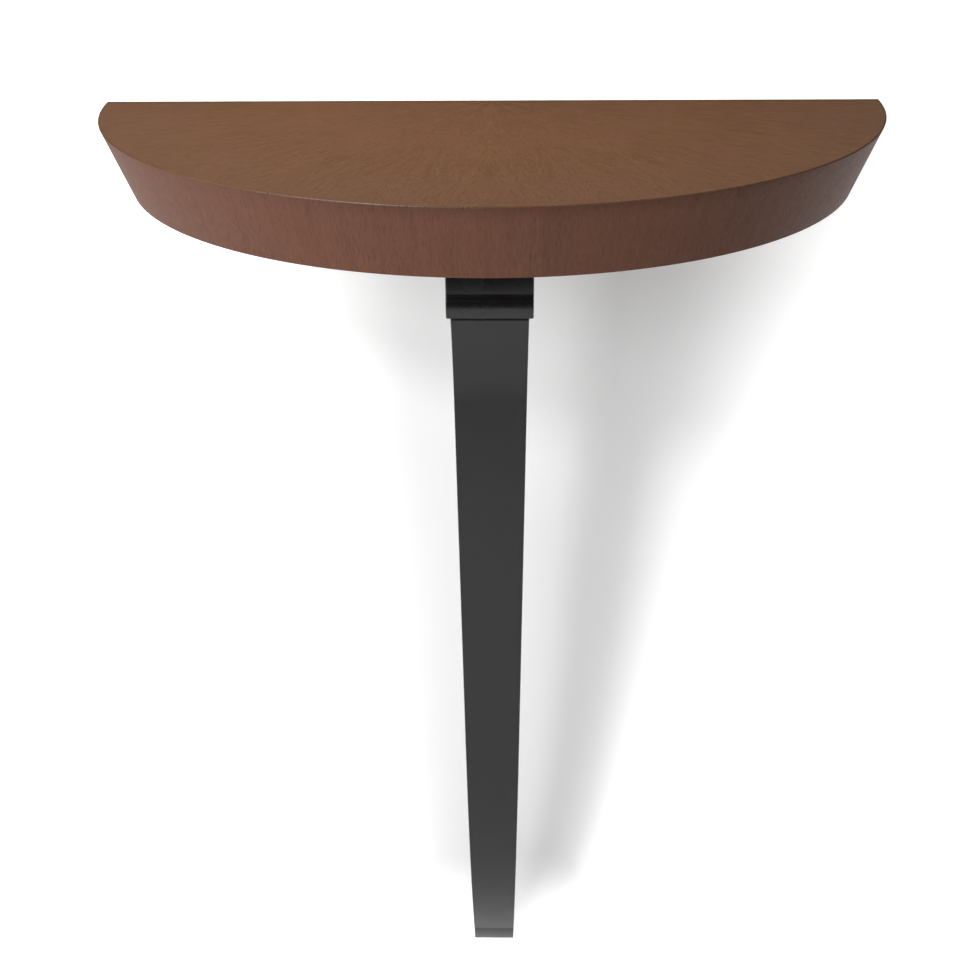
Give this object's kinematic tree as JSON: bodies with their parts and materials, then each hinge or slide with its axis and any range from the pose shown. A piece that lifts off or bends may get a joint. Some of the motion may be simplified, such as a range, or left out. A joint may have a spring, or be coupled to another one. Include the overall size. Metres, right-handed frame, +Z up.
{
  "type": "wall console table",
  "caption": "Half-round wall console table with a deep bevelled veneered edge, carried by a moulded cap and one curved tapering strap leg that returns to the wall.",
  "frame": {"origin": "on the wall plane, midway between the wall cleat's two screw holes", "axes": "+Y into the wall, +Z up, +X to the right as seen from the room"},
  "size_m": [0.61, 0.305, 0.845],
  "materials": {
    "top_veneer": "figured brown veneer, satin lacquer",
    "edge_veneer": "upright-grain brown veneer, satin lacquer",
    "board": "bare board with a thin stain",
    "rail_wood": "planed softwood",
    "cap_lacquer": "turned-profile block in black satin lacquer",
    "leg_coating": "black satin powder coat on steel strip",
    "zinc": "zinc-plated steel",
    "pad_rubber": "matt rubber"
  },
  "bodies": {
    "root": {"apron_segment_1": "rail_wood", "apron_segment_2": "rail_wood", "apron_segment_3": "rail_wood", "apron_segment_4": "rail_wood", "apron_segment_5": "rail_wood", "apron_segment_6": "rail_wood", "back_rail": "rail_wood", "bottom_panel": "board", "corner_block_1": "rail_wood", "corner_block_2": "rail_wood", "corner_block_3": "rail_wood", "corner_block_4": "rail_wood", "corner_block_5": "rail_wood", "edge_veneer_1": "edge_veneer", "edge_veneer_2": "edge_veneer", "edge_veneer_3": "edge_veneer", "edge_veneer_4": "edge_veneer", "foot_pad": "pad_rubber", "hanging_rail": "rail_wood", "hanging_rail_screws": "zinc", "leg": "leg_coating", "leg_block": "rail_wood", "leg_bolts": "zinc", "leg_cap": "cap_lacquer", "leg_inserts": "zinc", "rib_left": "rail_wood", "rib_right": "rail_wood", "top_panel": "board", "top_veneer_leaf_01": "top_veneer", "top_veneer_leaf_02": "top_veneer", "top_veneer_leaf_03": "top_veneer", "top_veneer_leaf_04": "top_veneer", "top_veneer_leaf_05": "top_veneer", "top_veneer_leaf_06": "top_veneer", "top_veneer_leaf_07": "top_veneer", "top_veneer_leaf_08": "top_veneer", "top_veneer_leaf_09": "top_veneer", "top_veneer_leaf_10": "top_veneer", "top_veneer_leaf_11": "top_veneer", "top_veneer_leaf_12": "top_veneer", "wall_cleat": "rail_wood"}
  },
  "joints": []
}
